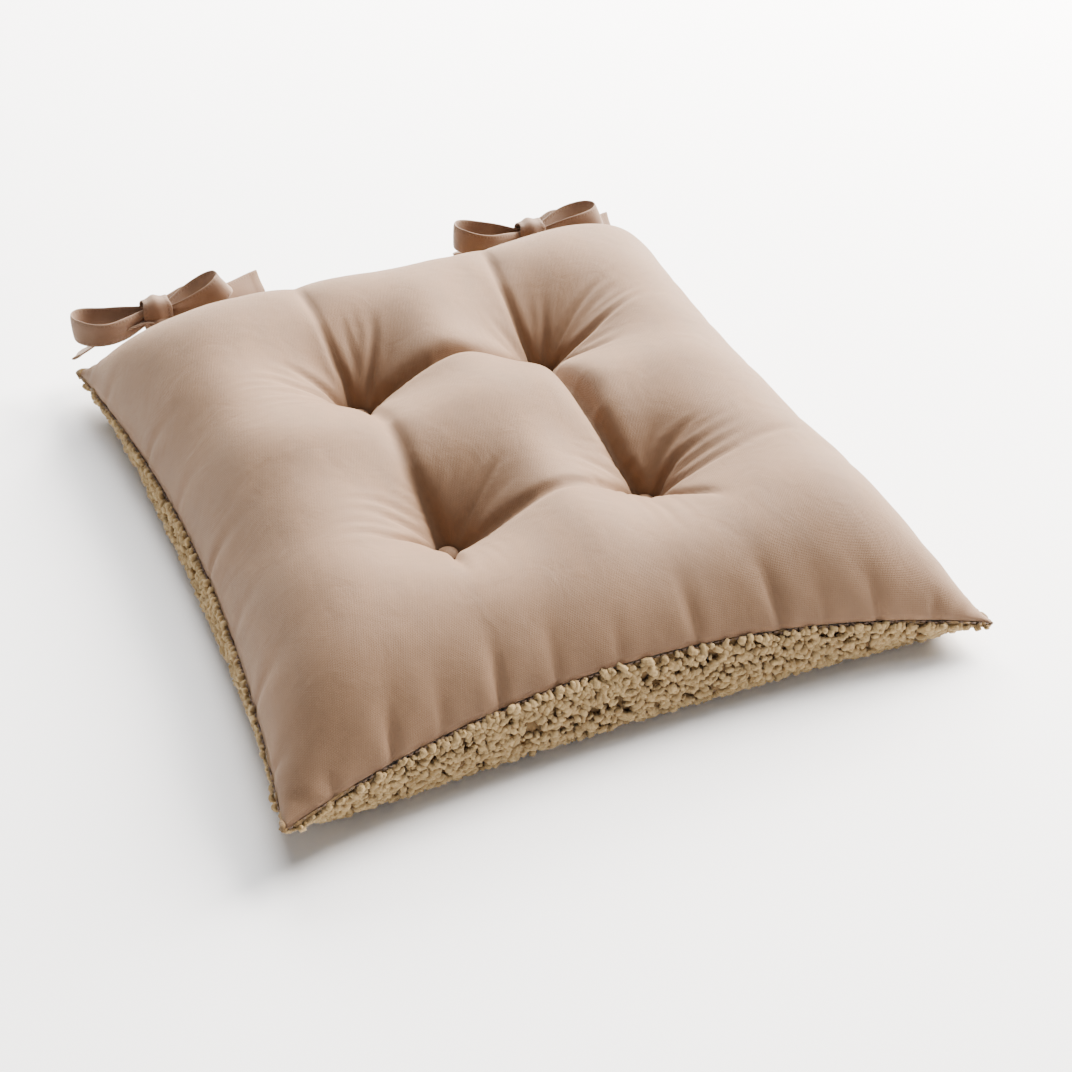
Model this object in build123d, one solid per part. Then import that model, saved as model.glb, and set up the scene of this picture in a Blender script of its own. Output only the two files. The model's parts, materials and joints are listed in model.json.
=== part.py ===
from build123d import *

import math
import os

# Tufted chair seat pad with two tie bows, in millimetres.
# The pad rests on z = 0 with the centre of its flat underside at the origin. +Y runs to the rear edge,
# where the ties are sewn in, and +X to the right as seen from the front.

# Pad outline, measured at the edge seam
half_width = 200.0
half_depth = 215.0
side_pull = 18.0  # how far the left and right seams draw in at mid side
end_pull = 22.0  # how far the front and rear seams draw in at mid end

# Heights above the surface that the pad rests on
seam_corner_z = 24.0
end_seam_rise = 18.0  # the front and rear seams arch up by this at mid end
side_seam_rise = 6.0
crown_z = 90.0
belly = 9.0  # how far the free underside would hang below the resting plane

# Tufting
tuft_x = 60.0
tuft_y = 72.0
tuft_seat_z = 38.0  # the top panel under a button
tuft_spread = 30.0
anchor_seat_z = 12.0  # the under panel's pile above an anchor button
anchor_spread = 17.0

# Cloth
top_cloth = 1.0
sherpa = 8.0  # backing and pile together, where the pad rests on it
sherpa_at_seam = 2.5
sherpa_at_tuft = 4.0
seam_allowance = 10.0
fill_gap = 0.5
panel_gap = 0.3  # between the two panels at the seam
thread = 0.8
thread_level = 0.05  # how full the pad is, as a share, where the seam's thread runs
closing_length = 130.0
closing_height = 3.0
closing_pitch = 10.0

# Covered button, 18 ligne
button_radius = 5.7
button_rise = 4.6
button_wall = 1.2
cover_cloth = 0.5
cover_gap = 0.05
back_plate = 0.8
button_lift = 1.6  # from the top panel's lowest point to the back plate
eye_wire = 0.4
eye_radius = 1.4

# Twine and anchor button
twine_radius = 0.6
twine_half_gap = 1.4
twine_room = 0.4
anchor_radius = 7.5
anchor_thickness = 2.4
anchor_gap = 2.2
knot_radius = 1.5
knot_drop = 1.0  # from the twine's lowest run down to the middle of its knot

# Ties, two tapes at each place
tape_width = 16.0
tape_thickness = 1.6
tape_room = 0.3
tie_inset = {"left": 58.0, "right": 79.0}  # from the rear corner to the middle of the tie
tie_stub = 4.0  # how far the sewn-in ends stand out of the seam
bow_reach = 22.0  # from the swing axis back to the middle of the knot
bow_lift = 12.0  # from the swing axis up to the middle of the knot
knot_width = 19.0
knot_cavity_depth = 9.6
knot_room = 1.0  # above and below the loops, inside the knot
loop_end_radius = 9.0
loop_throat_radius = 2.4
loop_length = 52.0  # from the middle of the knot to the loop's far end
tail_length = 62.0
tail_room = 0.8
tail_bend_radius = 160.0
tail_splay = 15.0  # how far a tail on its edge turns back from the bow, in degrees
loop_rise = {"left": {"left": 2.0, "right": 13.0}, "right": {"left": 10.0, "right": 9.0}}
tail_drop = {"left": {"left": 13.0, "right": 3.0}, "right": {"left": 10.0, "right": 14.0}}

top_fullness = 7  # higher is fuller towards the seam
under_fullness = 24
bulge_reach = 30  # higher keeps the drawn-in stretch of the under panel closer to the seam
grid = 36  # steps across each formed surface
crowding = 0.35  # how much closer the steps are near the seam
fit = 0.02  # how closely a formed surface keeps to its formula
sides = (("front", -1), ("rear", 1))
hands = (("left", -1), ("right", 1))
tufts = [(f"{end}_{hand}", sx * tuft_x, sy * tuft_y) for end, sy in sides for hand, sx in hands]


# ---- formed surfaces -------------------------------------------------------------------------


def plan(u, v):
    """The place in plan of a point at shares u, v of the half width and half depth."""
    x = u * (half_width - side_pull * (1 - v * v))
    y = v * (half_depth - end_pull * (1 - u * u))
    return x, y


def seam_z(u, v):
    return seam_corner_z + end_seam_rise * (1 - u * u) * v * v + side_seam_rise * (1 - v * v) * u * u


def swell(u, v, fullness):
    """0 at the seam and 1 over the middle."""
    return (1 - abs(u) ** fullness) * (1 - abs(v) ** fullness)


def nearness(x, y, spread):
    """1 at a tuft, fading to 0 away from it."""
    return sum(math.exp(-((x - tx) ** 2 + (y - ty) ** 2) / (2 * spread**2)) for _, tx, ty in tufts)


def between(edge_z, middle_z, share):
    return edge_z * (1 - share) + middle_z * share


def upper_skin(depth):
    """The top panel's surface, at a depth below its face."""
    free_at_tuft = crown_z * swell(tuft_x / half_width, tuft_y / half_depth, top_fullness)

    def point(u, v):
        x, y = plan(u, v)
        z = between(seam_z(u, v), crown_z, swell(u, v, top_fullness))
        z -= (free_at_tuft - tuft_seat_z) * nearness(x, y, tuft_spread)
        return x, y, z - depth

    return point


def lower_skin(edge_depth, middle_z, seat_z, inset):
    """A surface of the under panel, which bulges out below the drawn-in seam."""

    def point(u, v):
        near_side, near_end = abs(u) ** bulge_reach, abs(v) ** bulge_reach
        x = u * (half_width - side_pull * (1 - v * v) * near_side - inset * (1 - near_side**4))
        y = v * (half_depth - end_pull * (1 - u * u) * near_end - inset * (1 - near_end**4))
        z = between(seam_z(u, v) - edge_depth, middle_z, swell(u, v, under_fullness))
        z += (seat_z - middle_z) * nearness(x, y, anchor_spread)
        return x, y, z

    return point


pile_depth = top_cloth + panel_gap + sherpa_at_seam
lining_depth = top_cloth + panel_gap
top_face = upper_skin(0)
top_back = upper_skin(top_cloth)
fill_top = upper_skin(top_cloth + fill_gap)
pile_face = lower_skin(pile_depth, -belly, anchor_seat_z, 0)
pile_back = lower_skin(lining_depth, sherpa, anchor_seat_z + sherpa_at_tuft, sherpa_at_tuft)
fill_under = lower_skin(
    lining_depth - fill_gap,
    sherpa + fill_gap,
    anchor_seat_z + sherpa_at_tuft + fill_gap,
    sherpa_at_tuft + fill_gap,
)


def crowded(s, t):
    """Shares u, v for evenly stepped s, t, closer together near the seam."""
    return tuple(w * (1 + crowding - crowding * w * w) for w in (s, t))


def formed_slab(low, high, s_range=(-1, 1), t_range=(-1, 1), steps=(grid, grid), place=crowded):
    """The closed solid between two formed surfaces. place turns the patch's own s, t into u, v."""

    def surface(point):
        rows = []
        for i in range(steps[0] + 1):
            s = s_range[0] + (s_range[1] - s_range[0]) * i / steps[0]
            row = []
            for j in range(steps[1] + 1):
                t = t_range[0] + (t_range[1] - t_range[0]) * j / steps[1]
                row.append(point(*place(s, t)))
            rows.append(row)
        return Face.make_surface_from_array_of_points(rows, tol=fit, min_deg=3)

    floor, roof = surface(low), surface(high)
    walls = []
    for lower in floor.edges():
        spot = lower.center()
        upper = min(roof.edges(), key=lambda e: math.hypot(e.center().X - spot.X, e.center().Y - spot.Y))
        walls.append(Face.make_surface_from_curves(lower, upper))
    return Solid(Shell([floor, roof, *walls]))


def place_on_rear_seam(x):
    """The point of the rear seam at that x, found from its plan at v = 1."""
    u = x / half_width
    return Vector(x, plan(u, 1)[1], seam_z(u, 1) - top_cloth - panel_gap / 2)


# ---- pad -------------------------------------------------------------------------------------


def twine_hole(x, y):
    radius = twine_half_gap + twine_radius + twine_room
    return Pos(x, y, crown_z / 2) * Cylinder(radius, 2 * crown_z)


def tie_slot(hand):
    """The room that the sewn-in tapes take between the two panels."""
    root = tie_root_place(hand)
    depth = seam_allowance + tie_stub
    return Pos(*root) * Box(
        tape_width + 2 * tape_room,
        2 * depth,
        2 * tape_thickness + 2 * tape_room,
    )


def tie_root_place(hand):
    sign = dict(hands)[hand]
    return place_on_rear_seam(sign * (half_width - tie_inset[hand]))


def below_rest():
    return Pos(0, 0, -belly * 2) * Box(3 * half_width, 3 * half_depth, belly * 4)


def one_solid(shape):
    """The largest solid of a cut shape, without any crumb that the cut left."""
    return max(shape.solids(), key=lambda s: s.volume)


def make_panels():
    top = formed_slab(top_back, top_face)
    under = formed_slab(pile_face, pile_back)
    under -= below_rest()
    for _, x, y in tufts:
        top -= twine_hole(x, y)
        under -= twine_hole(x, y)
    for hand, _ in hands:
        top -= tie_slot(hand)
        under -= tie_slot(hand)
    return {"top_panel": one_solid(top), "sherpa_under_panel": one_solid(under)}


def make_fill():
    reach = 1 - seam_allowance / half_width

    def inside_seam(s, t):
        return tuple(reach * w for w in crowded(s, t))

    fill = formed_slab(fill_under, fill_top, place=inside_seam)
    for _, x, y in tufts:
        fill -= twine_hole(x, y)
    for hand, _ in hands:
        fill -= tie_slot(hand)
    return {"fibre_fill": one_solid(fill)}


def stitch_line(angle, share):
    """Where the seam's thread runs at an angle about the centre. share goes across the thread."""
    a, b = abs(math.cos(angle)) ** top_fullness, abs(math.sin(angle)) ** top_fullness
    root = math.sqrt((a + b) ** 2 - 4 * a * b * (1 - thread_level))
    reach = (2 * (1 - thread_level) / (a + b + root)) ** (1 / top_fullness)
    reach *= 1 - share * thread / half_width
    return reach * math.cos(angle), reach * math.sin(angle)


def thread_skin(lift):
    def point(u, v):
        return *plan(u, v), seam_z(u, v) + lift

    return point


def make_edge_thread():
    """The lockstitch that joins the panels, in runs that leave out the sewn-in tapes."""
    gaps = []
    for hand, _ in reversed(hands):
        middle = math.atan2(1, tie_root_place(hand).X / half_width)
        half = (tape_width / 2 + 2 * tape_room) / half_width
        gaps.append((middle - half, middle + half))
    corners = [math.atan2(sy, sx) % (2 * math.pi) for _, sy in sides for _, sx in hands]
    marks = sorted(corners + [angle for gap in gaps for angle in gap])
    runs = []
    for i, start in enumerate(marks):
        end = marks[(i + 1) % len(marks)]
        end += 2 * math.pi if end < start else 0
        if any(start == gap[0] for gap in gaps):
            continue
        steps = max(6, round((end - start) * grid / 2))
        low, high = thread_skin(-thread / 2), thread_skin(thread / 2)
        runs.append(formed_slab(low, high, (start, end), (0, 1), (steps, 3), stitch_line))
    return {"edge_seam_thread": Compound(children=runs)}


def make_closing_stitches():
    """Slip stitches over the gap in the rear seam that the filling went in by."""
    count = int(closing_length / closing_pitch) + 1
    stitches = []
    for i in range(count):
        x = (i - (count - 1) / 2) * closing_pitch
        at = place_on_rear_seam(x)
        stitches.append(Pos(at.X, at.Y + thread, at.Z) * Cylinder(thread / 2, closing_height))
    return {"closing_stitches": Compound(children=stitches)}


# ---- tufting ---------------------------------------------------------------------------------


def dome(radius, rise, rim):
    """A domed disc on z = 0, with a straight rim below the dome."""
    cap = rise - rim
    ball = (radius**2 + cap**2) / (2 * cap)
    return Pos(0, 0, rise - ball) * Sphere(ball) & Pos(0, 0, rise / 2) * Cylinder(radius, rise)


def make_button():
    rim = back_plate + button_wall
    shell_radius = button_radius - cover_cloth - cover_gap
    shell_rise = button_rise - cover_cloth - cover_gap
    cover = dome(button_radius, button_rise, rim) - dome(
        shell_radius + cover_gap, shell_rise + cover_gap, rim - cover_cloth / 2
    )
    shell = dome(shell_radius, shell_rise, rim - cover_cloth / 2)
    shell -= dome(shell_radius - button_wall, shell_rise - button_wall, rim / 2)
    plate = Pos(0, 0, back_plate / 2) * Cylinder(shell_radius - button_wall - cover_gap, back_plate)
    eye = Pos(0, 0, -eye_radius + eye_wire / 2) * Rot(0, 90, 0) * Torus(eye_radius, eye_wire)
    return {"button_cover": cover, "button_shell": shell, "button_back": plate + eye}


def twine_top(button_z):
    """The height of the twine's run through the button's eye."""
    return button_z - eye_radius + eye_wire / 2 - (eye_radius - eye_wire - twine_radius) / 2


def make_twine(top_z, bottom_z):
    """A closed loop of twine through the eye and the anchor's two holes, with its knot below."""
    corners = [
        (-twine_half_gap, 0, bottom_z),
        (-twine_half_gap, 0, top_z),
        (twine_half_gap, 0, top_z),
        (twine_half_gap, 0, bottom_z),
    ]
    bend = twine_radius + twine_room
    path = FilletPolyline(*corners, radius=bend, close=True)
    start = Plane(origin=path @ 0, z_dir=path % 0)
    loop = sweep(start * Circle(twine_radius), path=path)
    return loop + Pos(0, 0, bottom_z - knot_drop) * Sphere(knot_radius)


def make_anchor():
    disc = Cylinder(anchor_radius, anchor_thickness)
    disc = fillet(disc.edges(), anchor_thickness / 4)
    for sign in (-1, 1):
        hole = Cylinder(twine_radius + twine_room / 2, 2 * anchor_thickness)
        disc -= Pos(sign * twine_half_gap, 0, 0) * hole
    return disc


def make_tufts():
    nodes = {}
    button_z = tuft_seat_z + button_lift
    anchor_z = anchor_seat_z - anchor_gap - anchor_thickness
    bottom_z = anchor_z - anchor_thickness / 2 - twine_radius - twine_room / 4
    button = make_button()
    anchor = make_anchor()
    twine = make_twine(twine_top(button_z), bottom_z)
    for name, x, y in tufts:
        for piece, shape in button.items():
            nodes[f"{name}_{piece}"] = Pos(x, y, button_z) * shape
        nodes[f"{name}_tuft_twine"] = Pos(x, y, 0) * twine
        nodes[f"{name}_anchor_button"] = Pos(x, y, anchor_z) * anchor
    return nodes


# ---- ties ------------------------------------------------------------------------------------


def make_loop(sign, rise):
    """A teardrop band that stands on its edge, from inside the knot out to its round end."""
    end = loop_length - loop_end_radius
    throat = loop_throat_radius + tape_room

    def hull(shrink):
        outline = make_hull(
            (Pos(end, 0) * Circle(loop_end_radius - shrink)).edges()
            + (Pos(throat, 0) * Circle(loop_throat_radius - shrink)).edges()
        )
        return extrude(outline, tape_width + rise, both=True)

    loop = (hull(0) - hull(tape_thickness)) & rising_slab(rise)
    return loop if sign > 0 else loop.mirror(Plane.YZ)


def rising_slab(rise):
    """The space one tape width high that is level at the knot and rises towards the loop's end."""
    half = tape_width / 2
    level = knot_width / 2 + tape_room
    outline = Polyline(
        (0, -half),
        (level, -half),
        (loop_length, rise - half),
        (loop_length, rise + half),
        (level, half),
        (0, half),
        close=True,
    )
    return extrude(Plane.XZ * make_face(outline), 2 * loop_end_radius, both=True)


def make_rear_tail(sign, drop):
    """A tape on its edge behind the loop, which curves gently back."""
    start = knot_width / 2 + tail_room
    y = knot_cavity_depth / 2 + tape_thickness / 2
    heading = (math.cos(math.radians(tail_splay)), math.sin(math.radians(tail_splay)))
    turn = math.degrees(tail_length / tail_bend_radius)
    curve = JernArc((start, y), heading, tail_bend_radius, turn)
    strip = extrude(trace(curve, tape_thickness), tape_width, both=True)
    half = tape_width / 2
    far = start + tail_length
    outline = Polyline((0, -half), (far, -half - drop), (far, half - drop), (0, half), close=True)
    tail = strip & extrude(Plane.XZ * make_face(outline), 2 * tail_length, both=True)
    return tail if sign > 0 else tail.mirror(Plane.YZ)


def make_under_tail(sign, drop):
    """A tape that leaves the underside of the knot, lies flat and falls away from it."""
    z = -knot_height() / 2 - tape_room - tape_thickness / 2
    length = tail_length + knot_width / 2
    lean = math.atan2(drop, length)
    straight = Line((0, z), (length * math.cos(lean), z - length * math.sin(lean)))
    strip = trace(straight, tape_thickness)
    tail = extrude(Plane.XZ * strip, tape_width / 2, both=True)
    return tail if sign > 0 else tail.mirror(Plane.YZ)


def knot_height():
    return tape_width + 2 * knot_room + 2 * tape_thickness


def make_knot_wrap():
    """The tape wrapped once round the waist of the bow."""
    depth, height = knot_cavity_depth, knot_height()
    outer = RectangleRounded(depth + 2 * tape_thickness, height, depth / 3)
    inner = RectangleRounded(depth, height - 2 * tape_thickness, depth / 3 - tape_thickness / 2)
    wrap = extrude(Plane.YZ * outer, knot_width / 2, both=True)
    return wrap - extrude(Plane.YZ * inner, knot_width, both=True)


def make_strap(side):
    """One tape from the swing axis to the knot, with the axis at the origin. side is 1 for the upper."""
    apart = tape_thickness / 2 + tape_room / 2
    start = tape_thickness + 2 * tape_room
    run = math.hypot(bow_reach, bow_lift)
    knot_front = knot_cavity_depth / 2 + tape_thickness
    reach = run - knot_front * run / bow_reach - tape_thickness - tape_room
    strip = Pos((start + reach) / 2, 0, side * apart) * Box(reach - start, tape_width, tape_thickness)
    strip = fillet(strip.edges().filter_by(Axis.Y), tape_thickness / 4)
    lean = math.degrees(math.atan2(bow_lift, bow_reach))
    return Rot(lean, 0, 0) * Rot(0, 0, 90) * strip


def make_ties():
    nodes = {}
    for hand, _ in hands:
        root = tie_root_place(hand)
        axis = root + Vector(0, tie_stub, 0)
        knot = axis + Vector(0, bow_reach, bow_lift)
        depth = seam_allowance + tie_stub - tape_room
        for level, side in (("upper", 1), ("lower", -1)):
            end = Box(tape_width, depth, tape_thickness - tape_room / 2)
            lift = side * (tape_thickness / 2 + tape_room / 4)
            nodes[f"{hand}_tie_sewn_end_{level}"] = (
                Pos(root.X, axis.Y - tape_room - tape_thickness / 2 - depth / 2, root.Z + lift) * end
            )
            nodes[f"{hand}_tie_strap_{level}"] = Pos(*axis) * make_strap(side)
        nodes[f"{hand}_tie_knot"] = Pos(*knot) * make_knot_wrap()
        for way, sign in hands:
            make_tail = make_rear_tail if sign > 0 else make_under_tail
            nodes[f"{hand}_tie_{way}_loop"] = Pos(*knot) * make_loop(sign, loop_rise[hand][way])
            nodes[f"{hand}_tie_{way}_tail"] = Pos(*knot) * make_tail(sign, tail_drop[hand][way])
    return nodes


def main():
    nodes = {}
    nodes.update(make_panels())
    nodes.update(make_fill())
    nodes.update(make_edge_thread())
    nodes.update(make_closing_stitches())
    nodes.update(make_tufts())
    nodes.update(make_ties())
    os.makedirs("parts", exist_ok=True)
    for name, shape in nodes.items():
        export_step(shape, f"parts/{name}.step")
    print(len(nodes), "nodes")


main()
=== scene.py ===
import json
import math

import bpy
import numpy as np
from mathutils import Matrix, Vector


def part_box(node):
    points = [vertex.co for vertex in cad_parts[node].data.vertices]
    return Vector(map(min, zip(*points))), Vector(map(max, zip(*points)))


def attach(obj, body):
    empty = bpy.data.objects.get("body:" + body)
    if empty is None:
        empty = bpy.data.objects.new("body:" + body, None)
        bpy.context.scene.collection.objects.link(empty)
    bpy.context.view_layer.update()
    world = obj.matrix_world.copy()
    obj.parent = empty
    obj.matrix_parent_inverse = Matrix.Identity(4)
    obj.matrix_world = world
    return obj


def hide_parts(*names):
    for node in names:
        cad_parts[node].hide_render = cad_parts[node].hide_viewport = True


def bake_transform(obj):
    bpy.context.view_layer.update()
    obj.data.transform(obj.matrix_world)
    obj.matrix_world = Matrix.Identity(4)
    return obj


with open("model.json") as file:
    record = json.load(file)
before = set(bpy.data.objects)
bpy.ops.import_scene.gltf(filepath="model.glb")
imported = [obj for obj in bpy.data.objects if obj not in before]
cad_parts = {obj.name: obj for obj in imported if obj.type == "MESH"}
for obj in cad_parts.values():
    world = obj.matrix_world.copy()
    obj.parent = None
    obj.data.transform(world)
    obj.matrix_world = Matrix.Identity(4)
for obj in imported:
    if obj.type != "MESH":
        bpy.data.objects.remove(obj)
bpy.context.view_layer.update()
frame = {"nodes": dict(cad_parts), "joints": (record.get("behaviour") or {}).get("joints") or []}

mm = 0.001
nodes = frame["nodes"]


view = {
    "azimuth": -24.6,
    "elevation": 38.3,
    "roll": 0.9,
    "distance": 1.017,
    "target": (-0.0012, -0.0582, 0.025),
    "lens": 60.4,
}


def makeCamera():
    a, e, roll = (math.radians(view[k]) for k in ("azimuth", "elevation", "roll"))
    back = Vector((math.sin(a) * math.cos(e), -math.cos(a) * math.cos(e), math.sin(e)))
    right = (-back).cross(Vector((0, 0, 1))).normalized()
    up = right.cross(-back)
    tilted = right * math.cos(roll) + up * math.sin(roll)
    upright = up * math.cos(roll) - right * math.sin(roll)
    data = bpy.data.cameras.new("camera")
    data.lens = view["lens"]
    data.sensor_width = 36
    camera = bpy.data.objects.new("camera", data)
    bpy.context.scene.collection.objects.link(camera)
    spot = Vector(view["target"]) + back * view["distance"]
    turn = Matrix((tilted, upright, back)).transposed().to_4x4()
    camera.matrix_world = Matrix.Translation(spot) @ turn
    bpy.context.scene.camera = camera


studio = {
    "floorRadius": 6.9,
    "flatRadius": 4.0,
    "sweepRadius": 3.0,
    "floorSides": 64,
    "innerRings": [1.2, 2.6],
    "sweepRings": 12,
    "glow": 0.62,  # the far floor and the backdrop give off this much
    "glowFrom": 1.6,
    "glowTo": 5.0,
    "floorColour": (0.955, 0.95, 0.955),
    "floorRoughness": 0.9,
    "worldColour": (0.90, 0.94, 1.0),
    "worldStrength": 0.15,
    "windowPlace": (1.95, 0.90, 1.40),
    "windowAim": (0, 0, 0.03),
    "windowSize": (1.7, 1.5),
    "windowPower": 560,
    "windowColour": (1.0, 0.955, 0.90),
    "overheadPlace": (0.3, 0.5, 2.2),
    "overheadAim": (0, 0, 0),
    "overheadSize": (1.8, 1.8),
    "overheadPower": 40,
    "overheadColour": (1, 1, 1),
    "rearPlace": (0.55, 2.20, 1.30),
    "rearAim": (0.05, 0, 0.04),
    "rearSize": (1.4, 1.0),
    "rearPower": 170,
    "rearColour": (1, 0.99, 0.97),
}


def addAreaLight(name, place, aim, size, power, colour):
    data = bpy.data.lights.new(name, "AREA")
    data.shape = "RECTANGLE"
    data.size, data.size_y = size
    data.energy = power
    data.color = colour
    lamp = bpy.data.objects.new(name, data)
    bpy.context.scene.collection.objects.link(lamp)
    lamp.location = place
    lamp.rotation_euler = (Vector(aim) - Vector(place)).to_track_quat("-Z", "Y").to_euler()


def makeStudio():
    world = bpy.data.worlds.new("studio")
    world.use_nodes = True
    sky = world.node_tree.nodes["Background"]
    sky.inputs["Color"].default_value = (*studio["worldColour"], 1)
    sky.inputs["Strength"].default_value = studio["worldStrength"]
    bpy.context.scene.world = world
    flat, sweep, sides = studio["flatRadius"], studio["sweepRadius"], studio["floorSides"]
    radii = np.concatenate([studio["innerRings"],
                            np.linspace(flat, studio["floorRadius"], studio["sweepRings"])])
    rise = sweep - np.sqrt(sweep ** 2 - np.maximum(radii - flat, 0) ** 2)
    turns = np.arange(sides) * 2 * math.pi / sides
    points = np.stack([np.outer(radii, np.cos(turns)), np.outer(radii, np.sin(turns)),
                       np.tile(rise[:, None], (1, sides))], axis=-1).reshape(-1, 3)
    faces = [tuple(range(sides))]
    for ring in range(len(radii) - 1):
        for k in range(sides):
            a, b = ring * sides + k, ring * sides + (k + 1) % sides
            faces.append((a, a + sides, b + sides, b))
    mesh = bpy.data.meshes.new("floor")
    mesh.from_pydata(points.tolist(), [], faces)
    mesh.polygons.foreach_set("use_smooth", [True] * len(faces))
    floor = bpy.data.objects.new("floor", mesh)
    bpy.context.scene.collection.objects.link(floor)
    paper = bpy.data.materials.new("paper")
    paper.use_nodes = True
    shader = paper.node_tree.nodes["Principled BSDF"]
    shader.inputs["Base Color"].default_value = (*studio["floorColour"], 1)
    shader.inputs["Roughness"].default_value = studio["floorRoughness"]
    tree = paper.node_tree
    spot = tree.nodes.new("ShaderNodeTexCoord")
    away = tree.nodes.new("ShaderNodeVectorMath")
    away.operation = "LENGTH"
    glow = tree.nodes.new("ShaderNodeMapRange")
    glow.inputs["From Min"].default_value = studio["glowFrom"]
    glow.inputs["From Max"].default_value = studio["glowTo"]
    glow.inputs["To Max"].default_value = studio["glow"]
    tree.links.new(spot.outputs["Object"], away.inputs[0])
    tree.links.new(away.outputs["Value"], glow.inputs["Value"])
    tree.links.new(glow.outputs["Result"], shader.inputs["Emission Color"])
    shader.inputs["Emission Strength"].default_value = 1.0
    mesh.materials.append(paper)
    for lamp in ("window", "overhead", "rear"):
        settings = [studio[lamp + part] for part in ("Place", "Aim", "Size", "Power", "Colour")]
        addAreaLight(f"{lamp}Light", *settings)


makeCamera()
makeStudio()
print("camera and studio ready")


# The squares of a grid of rows by columns points; closed joins the last row to the first
def gridFaces(rows, columns, closed=False):
    k = np.arange(rows * columns).reshape(rows, columns)
    if closed:
        k = np.vstack([k, k[:1]])
    return np.stack([k[:-1, :-1], k[1:, :-1], k[1:, 1:], k[:-1, 1:]], axis=-1).reshape(-1, 4)


# A smooth mesh, with a named number or vector at each point from marks
def meshFrom(name, points, faces, marks=None):
    mesh = bpy.data.meshes.new(name)
    faces = np.asarray(faces)
    count, size = faces.shape
    mesh.vertices.add(len(points))
    mesh.vertices.foreach_set("co", np.asarray(points, np.float32).ravel())
    mesh.loops.add(count * size)
    mesh.loops.foreach_set("vertex_index", faces.ravel().astype(np.int32))
    mesh.polygons.add(count)
    mesh.polygons.foreach_set("loop_start", (np.arange(count) * size).astype(np.int32))
    mesh.polygons.foreach_set("use_smooth", np.ones(count, bool))
    mesh.update(calc_edges=True)
    for key, values in (marks or {}).items():
        values = np.asarray(values, np.float32)
        kind, slotName = ("FLOAT", "value") if values.ndim == 1 else ("FLOAT_VECTOR", "vector")
        mesh.attributes.new(key, kind, "POINT").data.foreach_set(slotName, values.ravel())
    return mesh


def place(name, mesh, material):
    obj = bpy.data.objects.new(name, mesh)
    bpy.context.scene.collection.objects.link(obj)
    mesh.materials.append(material)
    return obj


def gridNormals(points):
    across = np.gradient(points, axis=0)
    along = np.gradient(points, axis=1)
    normal = np.cross(across, along)
    size = np.linalg.norm(normal, axis=-1, keepdims=True)
    return normal / np.maximum(size, 1e-12)


# A closed shell: the outer grid, an inner one depth below it, and the rim between them
def shellOf(outer, depth):
    rows, columns = outer.shape[:2]
    inner = outer - gridNormals(outer) * depth
    faces = gridFaces(rows, columns)
    k = np.arange(rows * columns).reshape(rows, columns)
    rim = np.concatenate([k[:-1, 0], k[-1, :-1], k[:0:-1, -1], k[0, :0:-1]])
    onward = np.roll(rim, -1)
    count = rows * columns
    sides = np.stack([rim, rim + count, onward + count, onward], axis=-1)
    points = np.concatenate([outer.reshape(-1, 3), inner.reshape(-1, 3)])
    return points, np.concatenate([faces, faces[:, ::-1] + count, sides])


padLow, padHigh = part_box("top_panel")
halfWidth = (padHigh[0] - padLow[0]) / 2
halfDepth = (padHigh[1] - padLow[1]) / 2
tuftPlaces = []
for end in ("front", "rear"):
    for hand in ("left", "right"):
        low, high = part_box(f"{end}_{hand}_button_back")
        tuftPlaces.append(((low[0] + high[0]) / 2, (low[1] + high[1]) / 2))
tuftPlaces = np.array(tuftPlaces)
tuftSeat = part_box("front_left_button_cover")[0][2]

pad = {
    "cornerHeight": {(-1, -1): 0.0258, (1, -1): 0.0170, (-1, 1): 0.0225, (1, 1): 0.0235},
    "pull": {"front": 0.026, "rear": 0.021, "left": 0.0185, "right": 0.019},
    "rise": {"front": 0.019, "rear": 0.017, "left": 0.003, "right": 0.006},
    "crown": 0.090,
    "fullness": {"front": 5.5, "rear": 10, "left": 6, "right": 8},
    "cells": (160, 172),
    "tuftDisc": 0.0050,
    "tuftReach": 0.044,
    "tuftThroat": 0.006,
    "creaseWide": 0.0050,
    "cloth": 0.0010,
    "creaseEdge": 0.0012,
    "flatCut": (0.430, 0.460),
}

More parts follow.
